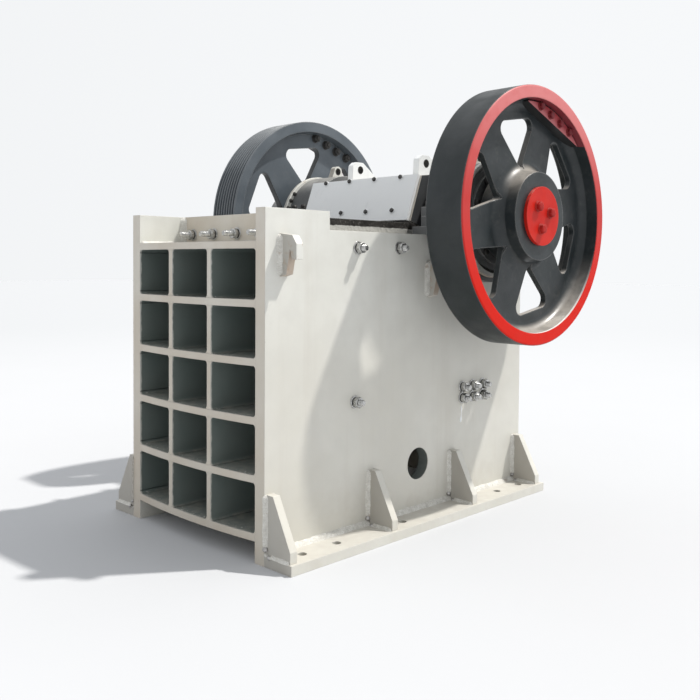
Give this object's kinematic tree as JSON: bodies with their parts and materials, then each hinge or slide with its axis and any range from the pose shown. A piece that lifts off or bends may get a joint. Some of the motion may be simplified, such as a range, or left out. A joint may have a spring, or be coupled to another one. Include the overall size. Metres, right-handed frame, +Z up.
{
  "type": "jaw crusher",
  "caption": "Jaw type rock crusher: ribbed plate frame on flanged feet, toothed fixed and swing jaws, eccentric shaft with windowed flywheel and grooved drive pulley",
  "frame": {"origin": "centre of the outer anchor bolt rectangle, on the base plane", "axes": "+X from the ribbed front wall to the rear, +Y along the shaft from the flywheel to the pulley, +Z up"},
  "size_m": [2.3154, 2.0532, 2.37],
  "materials": {
    "body_paint": "satin light grey paint, dusty",
    "guard_paint": "satin cool grey paint",
    "wheel_paint": "satin charcoal paint",
    "red_paint": "gloss red paint",
    "wear_steel": "rough cast manganese steel",
    "bare_steel": "machined steel"
  },
  "bodies": {
    "frame": {"side_plate_right": "body_paint", "side_plate_left": "body_paint", "base_flange_right": "body_paint", "base_flange_left": "body_paint", "gussets_right": "body_paint", "gussets_left": "body_paint", "lifting_hooks_right": "body_paint", "lifting_hooks_left": "body_paint", "front_wall": "body_paint", "front_ribs": "body_paint", "front_posts": "body_paint", "fixed_jaw_plate": "wear_steel", "cheek_plate_right": "wear_steel", "cheek_plate_left": "wear_steel", "bearing_seat_right": "body_paint", "bearing_seat_left": "body_paint", "bearing_base_right": "body_paint", "bearing_base_left": "body_paint", "bearing_cap_right": "body_paint", "bearing_cap_left": "body_paint", "bearing_eyes": "body_paint", "bearing_cover_right": "wheel_paint", "bearing_cover_left": "wheel_paint", "toggle_beam": "body_paint", "toggle_plate": "wear_steel", "rear_wall": "body_paint", "rear_ribs": "body_paint", "rear_posts": "body_paint", "spring_bracket": "body_paint", "tension_spring": "bare_steel"},
    "rotor": {"eccentric_shaft": "bare_steel", "flywheel": "wheel_paint", "pulley": "wheel_paint", "flywheel_counterweight": "red_paint", "pulley_counterweight": "red_paint", "flywheel_end_cap": "red_paint", "pulley_end_cap": "red_paint"},
    "swing_jaw": {"pitman": "body_paint", "pitman_lugs": "body_paint", "guard_plate": "guard_paint", "moving_jaw_plate": "wear_steel", "tension_rod": "bare_steel"}
  },
  "joints": [
    {"name": "shaft_spin", "type": "hinge", "parent": "frame", "child": "rotor", "pos_m": [0.53022, 0, 1.66], "axis": [0, 1, 0], "continuous": true, "deforming": ["tension_spring"]},
    {"name": "pitman_ride", "type": "hinge", "parent": "rotor", "child": "swing_jaw", "pos_m": [0.52372, 0, 1.64215], "axis": [0, 1, 0], "continuous": true}
  ],
  "couplings": [
    {"joint": "pitman_ride", "follows": "shaft_spin", "ratio": -1}
  ]
}
